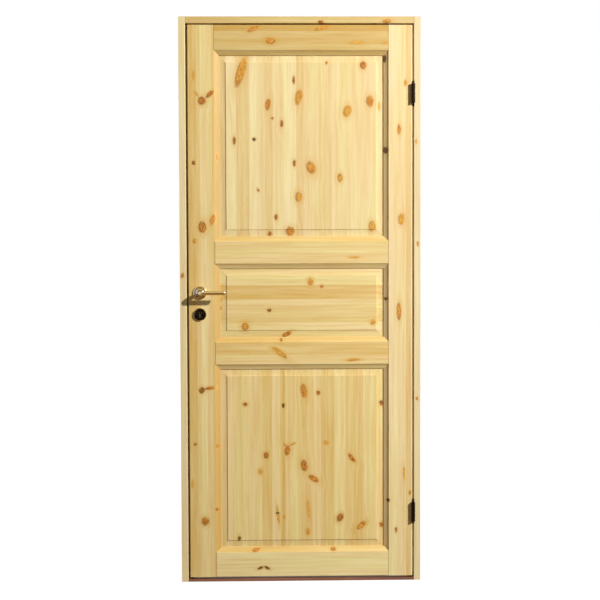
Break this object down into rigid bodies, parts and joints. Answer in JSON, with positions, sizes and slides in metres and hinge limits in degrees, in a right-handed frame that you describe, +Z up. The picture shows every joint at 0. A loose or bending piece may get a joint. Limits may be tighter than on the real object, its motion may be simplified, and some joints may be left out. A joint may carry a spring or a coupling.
{
  "type": "interior door",
  "caption": "Panelled pine interior door with raised panels, hung on lift-off hinges in its frame, with a lever handle and key escutcheon on both faces.",
  "frame": {"origin": "on the wall side of the hinge jamb, at floor level, in the middle of the frame's depth", "axes": "+X from the lock jamb to the hinge jamb and out into the wall, +Y from the opening face of the door to its back, +Z up"},
  "size_m": [0.89, 0.155, 2.09],
  "materials": {
    "pine": "clear satin lacquer over knotty pine",
    "hardwood": "oiled red-brown hardwood",
    "hinge_steel": "browned steel, waxed",
    "lock_steel": "plated steel",
    "chrome_fittings": "polished chrome"
  },
  "bodies": {
    "frame": {"hinge_jamb": "pine", "lock_jamb": "pine", "frame_head": "pine", "hinge_jamb_stop": "pine", "lock_jamb_stop": "pine", "head_stop": "pine", "threshold": "hardwood", "strike_plate": "lock_steel", "upper_hinge_frame_half": "hinge_steel", "lower_hinge_frame_half": "hinge_steel"},
    "leaf": {"lock_stile": "pine", "hinge_stile": "pine", "bottom_rail": "pine", "lower_middle_rail": "pine", "upper_middle_rail": "pine", "top_rail": "pine", "lower_panel": "pine", "middle_panel": "pine", "upper_panel": "pine", "upper_hinge_door_half": "hinge_steel", "lower_hinge_door_half": "hinge_steel", "lock_case": "lock_steel", "lock_face_plate": "lock_steel", "latch_bolt": "lock_steel", "dead_bolt": "lock_steel", "front_rose": "chrome_fittings", "back_rose": "chrome_fittings", "front_key_escutcheon": "chrome_fittings", "back_key_escutcheon": "chrome_fittings"},
    "handle": {"front_lever": "chrome_fittings", "back_lever": "chrome_fittings", "spindle": "lock_steel"}
  },
  "joints": [
    {"name": "leaf_swing", "type": "hinge", "parent": "frame", "child": "leaf", "pos_m": [-0.0275, -0.054, 1.0335], "axis": [0, 0, 1], "range_deg": [0, 170]},
    {"name": "lever_turn", "type": "hinge", "parent": "leaf", "child": "handle", "pos_m": [-0.816, -0.026, 1.077], "axis": [0, 1, 0], "range_deg": [0, 45], "stiffness_Nm_per_rad": 1.5, "springref_deg": -28.65}
  ]
}
